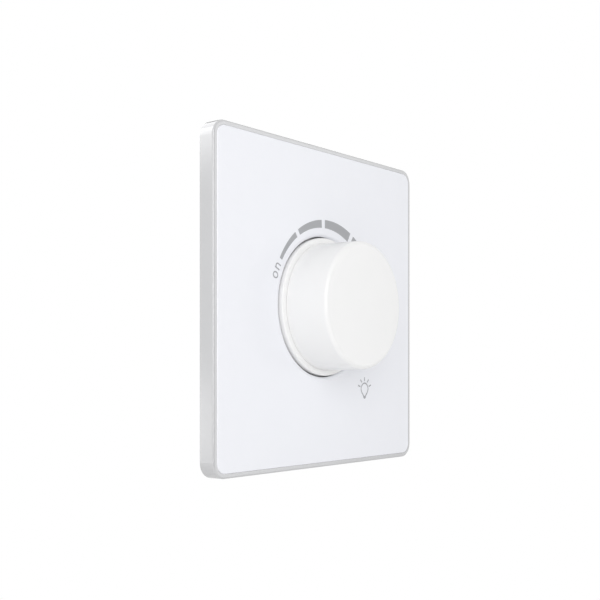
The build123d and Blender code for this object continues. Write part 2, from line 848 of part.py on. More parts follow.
with BuildPart() as terminal_pins:
    for terminal_x in terminal_places:
        with BuildSketch(turning(terminal_x, terminal_pin_z)):
            with BuildLine():
                Polyline(
                    (0, terminal_front - terminal_spigot),
                    (terminal_pin_radius, terminal_front - terminal_spigot),
                    (terminal_pin_radius, terminal_front),
                    (terminal_foot_radius, terminal_front),
                    (terminal_foot_radius, board_back),
                    (terminal_pin_radius, board_back),
                    (terminal_pin_radius, board_front - terminal_pin_short),
                    (0, board_front - terminal_pin_short),
                    close=True,
                )
            make_face()
        revolve(axis=Axis((terminal_x, 0, terminal_pin_z), (0, 1, 0)))

with BuildPart() as terminal_screws:
    with BuildSketch(Plane.XY.offset(terminal_head_front)):
        with Locations(*[(x, -terminal_screw_height) for x in terminal_places]):
            Circle(terminal_head_radius)
    extrude(amount=terminal_head)
    with BuildSketch(Plane.XY.offset(terminal_head_front)):
        with Locations(*[(x, -terminal_screw_height) for x in terminal_places]):
            Circle(terminal_screw_radius)
    extrude(amount=wire_z - wire_bore_radius - terminal_tip_gap - terminal_head_front)
    with BuildSketch(Plane.XY.offset(terminal_head_front)):
        with Locations(*[(x, -terminal_screw_height) for x in terminal_places]):
            Rectangle(2 * terminal_head_radius + driver_slot, driver_slot)
    extrude(amount=terminal_head / 2, mode=Mode.SUBTRACT)

# Power stage: the triac lies on its side against a folded aluminium heat sink
with BuildPart() as heat_sink:
    with BuildSketch(level(board_front)):
        with Locations((0, sink_outer)):
            Rectangle(sink_width, sink_thickness + sink_wing, align=(Align.CENTER, Align.MAX))
        with Locations((0, sink_inner)):
            Rectangle(2 * wing_inner, sink_wing, align=(Align.CENTER, Align.MAX), mode=Mode.SUBTRACT)
    extrude(amount=sink_top - board_front)
    fillet(heat_sink.edges().filter_by(Axis.Y).group_by(Axis.Z)[-1], radius=sink_thickness)
    with BuildSketch(Plane.XY.offset(sink_inner)):
        with Locations((tab_hole_x, -triac_middle)):
            Circle(sink_screw_radius + thread_clearance)
    extrude(amount=sink_thickness, mode=Mode.SUBTRACT)

with BuildPart() as triac_tab:
    with BuildSketch(Plane.XY.offset(tab_front)):
        with Locations((tab_start, -triac_middle)):
            Rectangle(tab_length, triac_width, align=(Align.MIN, Align.CENTER))
        with Locations((tab_hole_x, -triac_middle)):
            Circle(sink_screw_radius + hole_clearance, mode=Mode.SUBTRACT)
    extrude(amount=tab_thickness)
    chamfer(triac_tab.edges().filter_by(Axis.Z).group_by(Axis.X)[-1], length=triac_edge)

with BuildPart() as triac_body:
    with BuildSketch(Plane.XY.offset(tab_front)):
        with Locations((tab_start, -triac_middle)):
            Rectangle(triac_body_length, triac_width, align=(Align.MIN, Align.CENTER))
    extrude(amount=-triac_body_thickness)
    chamfer(triac_body.faces().sort_by(Axis.Z)[0].edges(), length=triac_edge)

with BuildPart() as triac_leads:
    with BuildSketch(turning(0, triac_lead_z)):
        for hole, height in triac_leads_at:
            add(bent_leg(tab_start, hole, height))
    extrude(amount=leg_width / 2, both=True)

with BuildPart() as heat_sink_screw:
    with BuildSketch(Plane.XY.offset(tab_front - sink_screw_head)):
        with Locations((tab_hole_x, -triac_middle)):
            Circle(sink_screw_head_radius)
    extrude(amount=sink_screw_head)
    chamfer(heat_sink_screw.edges().sort_by(Axis.Z)[0], length=sink_screw_bevel)
    with BuildSketch(Plane.XY.offset(tab_front)):
        with Locations((tab_hole_x, -triac_middle)):
            Circle(sink_screw_radius)
    extrude(amount=tab_thickness + sink_thickness + sink_screw_past)
    with BuildSketch(Plane.XY.offset(tab_front - sink_screw_head)):
        with Locations((tab_hole_x, -triac_middle)):
            Rectangle(2 * sink_screw_head_radius + screw_slot, screw_slot)
    extrude(amount=sink_screw_recess, mode=Mode.SUBTRACT)

# Interference filter: a box capacitor and a choke wound on a drum core
with BuildPart() as filter_capacitor:
    with BuildSketch(level(board_front)):
        with Locations((filter_x, 0)):
            Rectangle(filter_width, filter_length)
    extrude(amount=cover_back - filter_headroom - board_front)
    fillet(filter_capacitor.faces().sort_by(Axis.Y)[0].edges(), radius=filter_edge)

with BuildPart() as choke_core:
    with BuildSketch(turning(choke_x)):
        with BuildLine():
            choke_top = cover_back - choke_headroom
            Polyline(
                (0, board_front),
                (choke_radius, board_front),
                (choke_radius, board_front + choke_flange),
                (choke_hub_radius, board_front + choke_flange),
                (choke_hub_radius, choke_top - choke_flange),
                (choke_radius, choke_top - choke_flange),
                (choke_radius, choke_top),
                (0, choke_top),
                close=True,
            )
        make_face()
    revolve(axis=Axis((choke_x, 0, 0), (0, 1, 0)))

with BuildPart() as choke_winding:
    with BuildSketch(turning(choke_x)):
        with BuildLine():
            winding_low = board_front + choke_flange + choke_winding_gap
            winding_high = choke_top - choke_flange - choke_winding_gap
            winding_inner = choke_hub_radius + choke_winding_gap
            winding_outer = choke_radius - choke_winding_inset
            winding_edge = winding_outer - choke_winding_inset
            Polyline(
                (winding_edge, winding_low),
                (winding_inner, winding_low),
                (winding_inner, winding_high),
                (winding_edge, winding_high),
            )
            winding_middle = (winding_low + winding_high) / 2
            ThreePointArc(
                (winding_edge, winding_high),
                (winding_outer, winding_middle),
                (winding_edge, winding_low),
            )
        make_face()
    revolve(axis=Axis((choke_x, 0, 0), (0, 1, 0)))

# Small components, lying on the board or standing on their legs
with BuildPart() as timing_capacitor:
    with BuildSketch(level(board_front)):
        with Locations((timing_x, timing_z)):
            RectangleRounded(timing_width, timing_thickness, timing_edge)
    extrude(amount=timing_height)
    chamfer(timing_capacitor.faces().sort_by(Axis.Y)[0].edges(), length=timing_bevel)

with BuildPart() as fuse:
    with BuildSketch(lying(fuse_shift, fuse_axis, fuse_row)):
        with BuildLine():
            tube_end = fuse_length / 2 - fuse_cap_length
            cap_radius = fuse_radius + fuse_cap_rise
            Polyline(
                (-fuse_length / 2, 0),
                (-fuse_length / 2, cap_radius),
                (-tube_end, cap_radius),
                (-tube_end, fuse_radius),
                (tube_end, fuse_radius),
                (tube_end, cap_radius),
                (fuse_length / 2, cap_radius),
                (fuse_length / 2, 0),
                close=True,
            )
        make_face()
    revolve(axis=Axis((0, -fuse_axis, fuse_row), (1, 0, 0)))

with BuildPart() as diac:
    with BuildSketch(lying(diac_shift, diac_axis, fuse_row)):
        with Locations((0, 0)):
            Rectangle(diac_length, diac_radius, align=(Align.CENTER, Align.MIN))
    revolve(axis=Axis((0, -diac_axis, fuse_row), (1, 0, 0)))
    chamfer(diac.edges().filter_by(GeomType.CIRCLE), length=diac_bevel)

with BuildPart() as resistors:
    for place in resistor_places:
        with BuildSketch(lying(place, resistor_axis, resistor_row)):
            with BuildLine():
                waist_end = resistor_length / 2 - resistor_end
                Polyline(
                    (-resistor_length / 2, 0),
                    (-resistor_length / 2, resistor_radius),
                    (-waist_end, resistor_radius),
                    (-waist_end, resistor_waist),
                    (waist_end, resistor_waist),
                    (waist_end, resistor_radius),
                    (resistor_length / 2, resistor_radius),
                    (resistor_length / 2, 0),
                    close=True,
                )
            make_face()
        revolve(axis=Axis((0, -resistor_axis, resistor_row), (1, 0, 0)))

with BuildPart() as component_legs:
    with BuildSketch(level(leg_tip)):
        with Locations(*filter_legs_at, *choke_legs_at, *timing_legs_at):
            Rectangle(leg_width, leg_width)
    extrude(amount=board_front - leg_tip)
    with BuildSketch(turning(0, fuse_row)):
        for centre, length, axis in (
            (fuse_shift, fuse_length, fuse_axis),
            (diac_shift, diac_length, diac_axis),
        ):
            for side in (-1, 1):
                add(bent_leg(centre + side * length / 2, centre + side * (length / 2 + leg_reach), axis))
    extrude(amount=leg_width / 2, both=True)
    with BuildSketch(turning(0, resistor_row)):
        for place in resistor_places:
            for side in (-1, 1):
                end = place + side * resistor_length / 2
                add(bent_leg(end, end + side * leg_reach, resistor_axis))
    extrude(amount=leg_width / 2, both=True)

pieces = {
    "trim_frame": trim_frame,
    "front_panel": front_panel,
    "mounting_yoke": mounting_yoke,
    "knob": knob,
    "knob_clip": knob_clip,
    "control_nut": control_nut,
    "control_washer": control_washer,
    "control_bushing": control_bushing,
    "control_shaft": control_shaft,
    "retaining_clip": retaining_clip,
    "control_can": control_can,
    "wiper_carrier": wiper_carrier,
    "wiper": wiper,
    "track_wafer": track_wafer,
    "track_pins": track_pins,
    "switch_case": switch_case,
    "switch_rotor": switch_rotor,
    "switch_bridge": switch_bridge,
    "switch_contacts": switch_contacts,
    "module_cover": module_cover,
    "module_housing": module_housing,
    "housing_screws": housing_screws,
    "circuit_board": circuit_board,
    **terminals,
    "terminal_pins": terminal_pins,
    "terminal_screws": terminal_screws,
    "heat_sink": heat_sink,
    "triac_tab": triac_tab,
    "triac_body": triac_body,
    "triac_leads": triac_leads,
    "heat_sink_screw": heat_sink_screw,
    "filter_capacitor": filter_capacitor,
    "choke_core": choke_core,
    "choke_winding": choke_winding,
    "timing_capacitor": timing_capacitor,
    "fuse": fuse,
    "diac": diac,
    "resistors": resistors,
    "component_legs": component_legs,
}
os.makedirs("parts", exist_ok=True)
for name, piece in pieces.items():
    piece.part.label = name
    export_step(piece.part, f"parts/{name}.step")
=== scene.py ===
import json
from math import atan2, cos, hypot, pi, radians, sin, tau

import bmesh
import bpy
from bpy.props import FloatProperty, FloatVectorProperty, IntProperty, PointerProperty
from mathutils import Matrix, Vector


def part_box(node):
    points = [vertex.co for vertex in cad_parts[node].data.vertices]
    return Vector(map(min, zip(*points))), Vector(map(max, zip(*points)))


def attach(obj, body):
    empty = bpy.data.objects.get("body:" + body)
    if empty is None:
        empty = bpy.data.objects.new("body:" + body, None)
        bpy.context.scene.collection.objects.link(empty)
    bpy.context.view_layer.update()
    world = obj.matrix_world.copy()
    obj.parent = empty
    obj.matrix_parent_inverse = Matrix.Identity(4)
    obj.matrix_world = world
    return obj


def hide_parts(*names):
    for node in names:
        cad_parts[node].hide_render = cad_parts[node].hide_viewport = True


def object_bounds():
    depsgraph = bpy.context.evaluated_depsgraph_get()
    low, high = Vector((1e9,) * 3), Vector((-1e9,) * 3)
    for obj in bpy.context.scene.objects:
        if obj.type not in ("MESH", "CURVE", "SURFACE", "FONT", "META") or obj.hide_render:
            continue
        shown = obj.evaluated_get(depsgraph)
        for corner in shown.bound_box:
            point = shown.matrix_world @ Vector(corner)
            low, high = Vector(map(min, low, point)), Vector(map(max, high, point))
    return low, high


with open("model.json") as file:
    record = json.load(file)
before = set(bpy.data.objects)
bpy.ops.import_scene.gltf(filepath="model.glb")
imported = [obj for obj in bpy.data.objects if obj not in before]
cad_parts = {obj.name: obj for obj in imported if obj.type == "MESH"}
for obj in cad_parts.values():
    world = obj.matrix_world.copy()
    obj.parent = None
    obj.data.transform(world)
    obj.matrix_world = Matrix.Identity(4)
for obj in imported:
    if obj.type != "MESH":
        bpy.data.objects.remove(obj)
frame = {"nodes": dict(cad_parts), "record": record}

bl_info = {
    "name": "Wall Dimmer",
    "version": (1, 0, 0),
    "blender": (4, 5, 0),
    "location": "View3D > Sidebar > Dimmer",
    "description": "Prints, finishes and lights a rotary wall dimmer",
    "category": "Object",
}

MM = 0.001
# Points closer than this are the same point.
HAIR = 0.001 * MM
# An edge that turns by more than this stays hard in a smooth surface.
CREASE = radians(25)
WHITE = (1, 1, 1, 1)
CAD_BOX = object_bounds()
PANEL_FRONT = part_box("front_panel")[0].y


class PrintSettings(bpy.types.PropertyGroup):
    """The marks printed on the front panel. Directions turn upwards from the right-hand side."""

    ink: FloatVectorProperty(
        name="Ink", description="Colour of the printed marks", subtype="COLOR",
        default=(0.392, 0.397, 0.416))
    film: FloatProperty(
        name="Film", description="Thickness of the printed film", unit="LENGTH", default=0.015 * MM)
    stroke: FloatProperty(
        name="Stroke", description="Width of the letters' and the lamp's lines", unit="LENGTH",
        default=0.37 * MM)
    scale_place: FloatVectorProperty(
        name="Scale place", description="Middle of the brightness scale, to the right and up", size=2,
        unit="LENGTH", default=(0.2 * MM, 0.13 * MM))
    scale_radius: FloatProperty(
        name="Scale radius", description="Inner radius of the brightness scale", unit="LENGTH",
        default=21.17 * MM)
    scale_width: FloatProperty(
        name="Scale width", description="Width of the scale at its start", unit="LENGTH", default=1.03 * MM)
    scale_growth: FloatProperty(
        name="Scale growth", description="What the scale widens by over a whole turn", unit="LENGTH",
        default=7.2 * MM)
    scale_start: FloatProperty(
        name="Scale start", description="Direction of the scale's start, from the right-hand side",
        subtype="ANGLE", default=radians(148.45))
    scale_pitch: FloatProperty(
        name="Scale pitch", description="Angle from the scale's first bar to its second", subtype="ANGLE",
        default=radians(28.03))
    scale_stretch: FloatProperty(
        name="Scale stretch", description="What the pitch grows by from bar to bar", subtype="ANGLE",
        default=radians(2.35))
    scale_gap: FloatProperty(
        name="Scale gap", description="Angle left bare between two bars", subtype="ANGLE",
        default=radians(3.53))
    scale_bars: IntProperty(
        name="Bars", description="Number of bars in the brightness scale", min=1, default=5)
    scale_steps: IntProperty(
        name="Bar steps", description="Number of straight stretches in each bar", min=1, default=16)
    letter_radius: FloatProperty(
        name="Letter radius", description="Distance of the letters' middle from the knob's axis",
        unit="LENGTH", default=21.68 * MM)
    letter_height: FloatProperty(
        name="Letter height", description="Height of the letters", unit="LENGTH", default=1.9 * MM)
    letter_width: FloatProperty(
        name="Letter width", description="Distance between the two legs of the n", unit="LENGTH",
        default=1.26 * MM)
    letter_place: FloatProperty(
        name="Letter place", description="Direction of the word's middle, from the right-hand side",
        subtype="ANGLE", default=radians(157.15))
    letter_pitch: FloatProperty(
        name="Letter pitch", description="Angle between the two letters", subtype="ANGLE",
        default=radians(6.5))
    lamp_place: FloatVectorProperty(
        name="Lamp place", description="Middle of the lamp sign on the panel, to the right and up", size=2,
        unit="LENGTH", default=(18.8 * MM, -22.2 * MM))


class FitSettings(bpy.types.PropertyGroup):
    """How the knob sits in the panel's opening."""

    mouth_width: FloatProperty(
        name="Mouth width", description="How far the opening's rounded edge reaches over the panel's front",
        unit="LENGTH", default=1.2 * MM)
    mouth_depth: FloatProperty(
        name="Mouth depth", description="How far the opening's rounded edge reaches down its wall",
        unit="LENGTH", default=0.75 * MM)
    mouth_steps: IntProperty(
        name="Mouth steps", description="Number of strips in the rounded edge", min=2, default=10)
    skirt_sink: FloatProperty(
        name="Skirt sink", description="How much further the knob's skirt goes down into the opening",
        unit="LENGTH", default=1.0 * MM)


class FinishSettings(bpy.types.PropertyGroup):
    """Colours of the pieces that show."""

    panel: FloatVectorProperty(
        name="Panel", description="Cool white of the front panel", subtype="COLOR",
        default=(0.885, 0.895, 0.938))
    knob: FloatVectorProperty(
        name="Knob", description="Neutral white of the knob", subtype="COLOR",
        default=(0.913, 0.913, 0.911))
    trim: FloatVectorProperty(
        name="Trim", description="Silver grey of the trim frame", subtype="COLOR",
        default=(0.595, 0.597, 0.607))
    housing: FloatVectorProperty(
        name="Housing", description="Pale grey of the module's mouldings", subtype="COLOR",
        default=(0.74, 0.74, 0.72))


class StageSettings(bpy.types.PropertyGroup):
    """Camera, lamps, wall and floor."""

    lens: FloatProperty(
        name="Lens", description="Focal length on a sensor 36 mm wide", unit="CAMERA", default=59.765)
    eye: FloatVectorProperty(
        name="Camera place", description="Where the camera stands", subtype="TRANSLATION", unit="LENGTH",
        default=(-0.21345, -0.16753, -0.01645))
    turn: FloatProperty(
        name="Camera turn", description="Direction of the level camera", subtype="ANGLE",
        default=radians(-51.2404))
    rise: FloatProperty(
        name="Camera rise", description="Upward shift of the camera's picture", default=0.11363)
    sky: FloatProperty(
        name="Sky", description="Strength of the even light from all round", min=0, default=0.665)
    key: FloatProperty(
        name="Key", description="Power of the lamp in front on the left", unit="POWER", min=0, default=0.86)
    fill: FloatProperty(
        name="Fill", description="Power of the lamp in front on the right, which gives no reflection",
        unit="POWER", min=0, default=0.03)
    shine: FloatProperty(
        name="Shine", description="Power of the lamp in front on the right that shows only in reflections",
        unit="POWER", min=0, default=0.11)
    shine_high: FloatProperty(
        name="High shine", description="Power of the upper lamp that shows only in reflections",
        unit="POWER", min=0, default=0.025)
    top: FloatProperty(
        name="Top", description="Power of the lamp above, behind the wall", unit="POWER", min=0,
        default=0.65)
    top_left: FloatProperty(
        name="Top left", description="Power of the lamp above on the left, behind the wall", unit="POWER",
        min=0, default=0.28)
    side_high: FloatProperty(
        name="High side", description="Power of the upper lamp on the left, behind the wall", unit="POWER",
        min=0, default=0.1)
    side_low: FloatProperty(
        name="Low side", description="Power of the lower lamp on the left, behind the wall", unit="POWER",
        min=0, default=0.015)
    wall_size: FloatProperty(
        name="Wall size", description="Width and height of the wall behind the plate", unit="LENGTH",
        default=0.7)
    wall_gap: FloatProperty(
        name="Wall gap", description="How far the wall's surface lies behind the plate's back",
        unit="LENGTH", default=0.2 * MM)
    floor_drop: FloatProperty(
        name="Floor drop", description="Height of the floor below the plate's middle", unit="LENGTH",
        default=0.16)
    floor_radius: FloatProperty(
        name="Floor radius", description="Radius of the floor", unit="LENGTH", default=0.6)
    floor: FloatVectorProperty(
        name="Floor", description="Colour of the floor", subtype="COLOR", default=(0.9, 0.9, 0.9))


class Wire:
    """A number on its way through a shader. Arithmetic on it adds Math nodes."""

    def __init__(self, shader, socket):
        self.shader = shader
        self.socket = socket

    def math(self, operation, *values):
        return self.shader.node("ShaderNodeMath", {"operation": operation}, dict(enumerate(values)))

    def __add__(self, other):
        return self.math("ADD", self, other)

    def __sub__(self, other):
        return self.math("SUBTRACT", self, other)

    def __mul__(self, other):
        return self.math("MULTIPLY", self, other)

    def __lt__(self, other):
        return self.math("LESS_THAN", self, other)

    def __gt__(self, other):
        return self.math("GREATER_THAN", self, other)

    def __abs__(self):
        return self.math("ABSOLUTE", self)

    def sine(self):
        return self.math("SINE", self)

    def either(self, other):
        return self.math("MAXIMUM", self, other)

    def about(self, middle, spread):
        """A value that this pattern, which runs from 0 to 1, varies about its middle."""
        return self * spread + (middle - spread / 2)


class Shader:
    """A node tree that is filled one node at a time."""

    def __init__(self, tree):
        self.tree = tree
        self.tree.nodes.clear()

    def node(self, kind, settings=None, inputs=None, output=0):
        made = self.tree.nodes.new(kind)
        for name, value in (settings or {}).items():
            setattr(made, name, value)
        for name, value in (inputs or {}).items():
            if isinstance(value, Wire):
                self.tree.links.new(value.socket, made.inputs[name])
            else:
                made.inputs[name].default_value = value
        return Wire(self, made.outputs[output]) if made.outputs else None

    def place(self, stretch=(1, 1, 1)):
        """Object coordinates, stretched along the axes."""
        where = self.node("ShaderNodeTexCoord", output="Object")
        return self.node("ShaderNodeMapping", None, {"Vector": where, "Scale": stretch})

    def along(self, axis):
        """One of the object coordinates."""
        where = self.node("ShaderNodeTexCoord", output="Object")
        return self.node("ShaderNodeSeparateXYZ", None, {"Vector": where}, axis)

    def noise(self, grain, detail=2.0, stretch=(1, 1, 1)):
        """A soft random pattern whose patches are about as large as the grain, in millimetres."""
        return self.node("ShaderNodeTexNoise", None, {
            "Vector": self.place(stretch), "Scale": 1 / (grain * MM), "Detail": detail, "Roughness": 0.55})

    def cells(self, grain):
        """A pattern of cells, each of one random tone."""
        colours = self.node("ShaderNodeTexVoronoi", None, {
            "Vector": self.place(), "Scale": 1 / (grain * MM)}, "Color")
        return self.node("ShaderNodeSeparateColor", None, {"Color": colours})

    def tone(self, colour, amount, pattern):
        """A colour that a pattern makes darker and lighter by a share of it."""
        return self.mix(pattern, shade(colour, 1 - amount), shade(colour, 1 + amount))

    def mix(self, factor, first, second):
        return self.node("ShaderNodeMix", {"data_type": "RGBA"}, {0: factor, 6: first, 7: second}, 2)

    def bump(self, height, depth):
        """A surface that a pattern raises by up to a depth in millimetres."""
        return self.node("ShaderNodeBump", None, {"Height": height, "Distance": depth * MM})


def shade(colour, factor):
    return (*[min(1.0, part * factor) for part in colour[:3]], 1.0)


def wear(slot, recipe):
    """Makes the material of one of the record's slots and gives it to the slot's CAD nodes."""
    material = paint(slot, recipe)
    for part in frame["record"]["subparts"]:
        if part["material_slot"] == slot:
            frame["nodes"][part["node"]].data.materials[0] = material


def bare_material(name):
    """A new material and its empty shader."""
    material = bpy.data.materials.new(name)
    material.use_nodes = True
    return material, Shader(material.node_tree)


def paint(name, recipe):
    """A material whose recipe gives the inputs of its surface."""
    material, shader = bare_material(name)
    surface = shader.node("ShaderNodeBsdfPrincipled", None, recipe(shader))
    shader.node("ShaderNodeOutputMaterial", None, {"Surface": surface})
    return material


def slot_colour(slot):
    """The colour that the record gives one of its material slots."""
    return next(entry["base_color"] for entry in frame["record"]["materials"] if entry["slot"] == slot)


def moulded(colour, gloss, grain=0.25, depth=0.004, mottle=0.012):
    """Moulded plastic: a faint cloudiness, a fine eroded grain and slightly uneven gloss."""
    def recipe(shader):
        return {
            "Base Color": shader.tone(colour, mottle, shader.noise(9, 3)),
            "Roughness": shader.noise(3).about(gloss, 0.1),
            "Normal": shader.bump(shader.noise(grain, 4), depth),
        }
    return recipe


def painted_silver(colour):
    """Satin silver paint with fine flakes that catch the light one by one."""
    def recipe(shader):
        flakes = shader.cells(0.05)
        return {
            "Base Color": shader.tone(colour, 0.03, flakes * 0.7 + shader.noise(7, 3) * 0.3),
            "Metallic": flakes.about(0.23, 0.1),
            "Roughness": shader.noise(2.0).about(0.15, 0.04),
            "Normal": shader.bump(shader.noise(3.0), 0.001),
        }
    return recipe


def rolled_sheet(colour, gloss, spangle=4.0):
    """Zinc-coated sheet: spangled crystals under fine rolling lines."""
    def recipe(shader):
        crystals = shader.cells(spangle)
        lines = shader.noise(0.5, 3, (1, 1, 0.04))
        return {
            "Base Color": shader.tone(colour, 0.12, crystals * 0.6 + lines * 0.4),
            "Metallic": 1.0,
            "Roughness": crystals * 0.12 + lines * 0.1 + (gloss - 0.1),
            "Normal": shader.bump(lines, 0.003),
        }
    return recipe


def turned_metal(colour, gloss, tarnish=0.12):
    """Turned and plated metal: fine tool lines round the axis and a little tarnish."""
    def recipe(shader):
        lines = shader.noise(0.12, 2, (0.02, 1, 0.02))
        blotches = shader.noise(2.2, 4)
        return {
            "Base Color": shader.tone(colour, tarnish, blotches),
            "Metallic": 1.0,
            "Roughness": blotches * 0.14 + lines * 0.08 + (gloss - 0.1),
            "Normal": shader.bump(lines, 0.003),
        }
    return recipe


def masked_board(colour):
    """Green solder mask that is paler over the copper fields under it."""
    def recipe(shader):
        copper = shader.noise(5, 1) > 0.5
        weave = shader.noise(0.35, 2, (1, 1, 0.3))
        return {
            "Base Color": shader.mix(copper, shade(colour, 0.8), shade(colour, 1.5)),
            "Roughness": weave.about(0.3, 0.12),
            "Normal": shader.bump(copper * 0.7 + weave * 0.3, 0.02),
        }
    return recipe


def wound_wire(colour, pitch=0.55):
    """Enamelled wire: turns side by side, with shade painted dark between them and a slightly lighter crest
    painted on each.
    """
    def recipe(shader):
        turns_and_painted_shade = (shader.along("Y") * (tau / (pitch * MM))).sine() * 0.5 + 0.5
        return {
            # Painted shade: the colour drops to 0.3 of the wire's in the creases between the turns, and the
            # crests are painted a little lighter.
            "Base Color": shader.mix(turns_and_painted_shade, shade(colour, 0.3), shade(colour, 1.1)),
            "Metallic": 0.7,
            "Roughness": shader.noise(0.6).about(0.325, 0.15),
            "Normal": shader.bump(turns_and_painted_shade, 0.12),
        }
    return recipe


def capped_tube(colour, cap=2.5, plating=(0.62, 0.61, 0.58, 1)):
    """A ceramic tube with a plated cap on each end. The cap's length is in millimetres."""
    low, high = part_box("fuse")
    middle = (low.x + high.x) / 2
    tube = (high.x - low.x) / 2 - cap * MM

    def recipe(shader):
        caps = abs(shader.along("X") - middle) > tube
        stain = shader.noise(1.5, 3)
        return {
            "Base Color": shader.mix(caps, shader.tone(colour, 0.05, stain), plating),
            "Metallic": caps,
            "Roughness": stain.about(0.355, 0.15),
            "Normal": shader.bump(shader.noise(0.2, 3), 0.004),
        }
    return recipe


def ringed_resistor(colour, length=6.2, ring_width=0.42):
    """Lacquer with four colour rings, mirrored on the two of a pair. Lengths are in millimetres."""
    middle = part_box("resistors")[1].x - length * MM / 2
    # Each ring's place from the body's middle, and its colour.
    rings = ((-1.1, (0.16, 0.05, 0.02)), (-0.45, (0.01, 0.01, 0.01)), (0.2, (0.75, 0.2, 0.02)),
             (2.1, (0.5, 0.33, 0.08)))

    def recipe(shader):
        place = abs(shader.along("X")) - middle
        lacquer = shader.tone(colour, 0.06, shader.noise(0.8, 3))
        for ring, ring_colour in rings:
            band = abs(place - ring * MM) < ring_width * MM / 2
            lacquer = shader.mix(band, lacquer, (*ring_colour, 1))
        return {
            "Base Color": lacquer,
            "Roughness": shader.noise(0.5).about(0.33, 0.14),
            "Normal": shader.bump(shader.noise(0.4, 3), 0.01),
        }
    return recipe


def printed_ink(colour):
    """Screen-printed ink: a flat tone with the faint print of the mesh."""
    def recipe(shader):
        mesh = shader.noise(0.08, 2)
        return {
            "Base Color": shader.tone(colour, 0.04, mesh),
            "Roughness": mesh.about(0.45, 0.1),
            "Normal": shader.bump(mesh, 0.001),
        }
    return recipe


def seen_directly(shader):
    """One for rays from the camera and for reflected and refracted ones, none for the others."""
    rays = [shader.node("ShaderNodeLightPath", output=name)
            for name in ("Is Camera Ray", "Is Glossy Ray", "Is Transmission Ray")]
    return rays[0].either(rays[1]).either(rays[2])


def stroke(form, points, width, film, closed=False, taper=None):
    """Adds a flat line of ink to a form, drawn through points of the panel, to the right and up."""
    curve = bpy.data.curves.new("stroke", "CURVE")
    curve.dimensions = "3D"
    curve.resolution_u = 10
    curve.bevel_depth = width / 2
    curve.bevel_resolution = 2
    curve.use_fill_caps = True
    spline = curve.splines.new("BEZIER")
    spline.bezier_points.add(len(points) - 1)
    for knot, point, swell in zip(spline.bezier_points, points, taper or [1] * len(points)):
        knot.co = (point[0], 0, point[1])
        knot.radius = swell
        knot.handle_left_type = "AUTO"
        knot.handle_right_type = "AUTO"
    spline.use_cyclic_u = closed
    drawn = bpy.data.objects.new("stroke", curve)
    mesh = bpy.data.meshes.new_from_object(drawn)
    mesh.transform(Matrix.Diagonal((1, 2 * film / width, 1, 1)))
    form.from_mesh(mesh)
    bpy.data.objects.remove(drawn)
    bpy.data.curves.remove(curve)
    bpy.data.meshes.remove(mesh)


def make_piece(name, form, material, scene):
    """Turns a form into an object of one material in the scene."""
    mesh = bpy.data.meshes.new(name)
    form.to_mesh(mesh)
    form.free()
    mesh.materials.append(material)
    piece = bpy.data.objects.new(name, mesh)
    scene.collection.objects.link(piece)
    return piece


def printed(name, form, scene):
    """Puts a form that was drawn at height 0 on the panel's front, as ink that rides on the plate."""
    bmesh.ops.remove_doubles(form, verts=form.verts, dist=HAIR)
    bmesh.ops.recalc_face_normals(form, faces=form.faces)
    bmesh.ops.translate(form, verts=form.verts, vec=(0, PANEL_FRONT, 0))
    ink = bpy.data.materials.get("panel_ink") or paint("panel_ink", printed_ink(scene.dimmer_print.ink))
    piece = make_piece(name, form, ink, scene)
    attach(piece, "wall_plate")


def from_axis(vert):
    """A corner's distance from the knob's axis."""
    return hypot(vert.co.x, vert.co.z)


def merged_copy(node):
    """A form with a CAD node's shape, its loose triangles joined."""
    form = bmesh.new()
    form.from_mesh(frame["nodes"][node].data)
    bmesh.ops.remove_doubles(form, verts=form.verts, dist=HAIR)
    return form


def stand_in(name, form, node, body, scene):
    """Shows a form in place of a CAD node, in the node's finish."""
    piece = make_piece(name, form, frame["nodes"][node].data.materials[0], scene)
    piece.data.attributes.remove(piece.data.attributes["custom_normal"])
    piece.data.set_sharp_from_angle(angle=CREASE)
    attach(piece, body)
    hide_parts(node)


class DIMMER_OT_print_scale(bpy.types.Operator):
    """Prints the bars of the brightness scale, which widen clockwise round the knob"""

    bl_idname = "dimmer.print_scale"
    bl_label = "Print Brightness Scale"

    def execute(self, context):
        marks = context.scene.dimmer_print
        form = bmesh.new()
        start = marks.scale_start
        for bar in range(marks.scale_bars):
            pitch = marks.scale_pitch + bar * marks.scale_stretch
            ends = [form.verts.new((radius * cos(start), 0, radius * sin(start)))
                    for radius in (marks.scale_radius, marks.scale_radius + marks.scale_width)]
            edge = form.edges.new(ends)
            bmesh.ops.spin(form, geom=[*ends, edge], axis=(0, 1, 0), cent=(0, 0, 0),
                           steps=marks.scale_steps, angle=pitch - marks.scale_gap)
            start -= pitch
        for vert in form.verts:
            radius = from_axis(vert)
            if radius > marks.scale_radius + marks.scale_width / 2:
                before = marks.scale_start + marks.scale_gap / 2
                travel = (before - atan2(vert.co.z, vert.co.x)) % tau - marks.scale_gap / 2
                width = marks.scale_width + marks.scale_growth * travel / tau
                vert.co *= (marks.scale_radius + width) / radius
        raised = bmesh.ops.extrude_face_region(form, geom=form.faces[:])["geom"]
        tops = [part for part in raised if isinstance(part, bmesh.types.BMVert)]
        bmesh.ops.translate(form, verts=tops, vec=(0, -marks.film, 0))
        bmesh.ops.translate(form, verts=form.verts, vec=(marks.scale_place[0], 0, marks.scale_place[1]))
        printed("brightness_scale", form, context.scene)
        return {"FINISHED"}


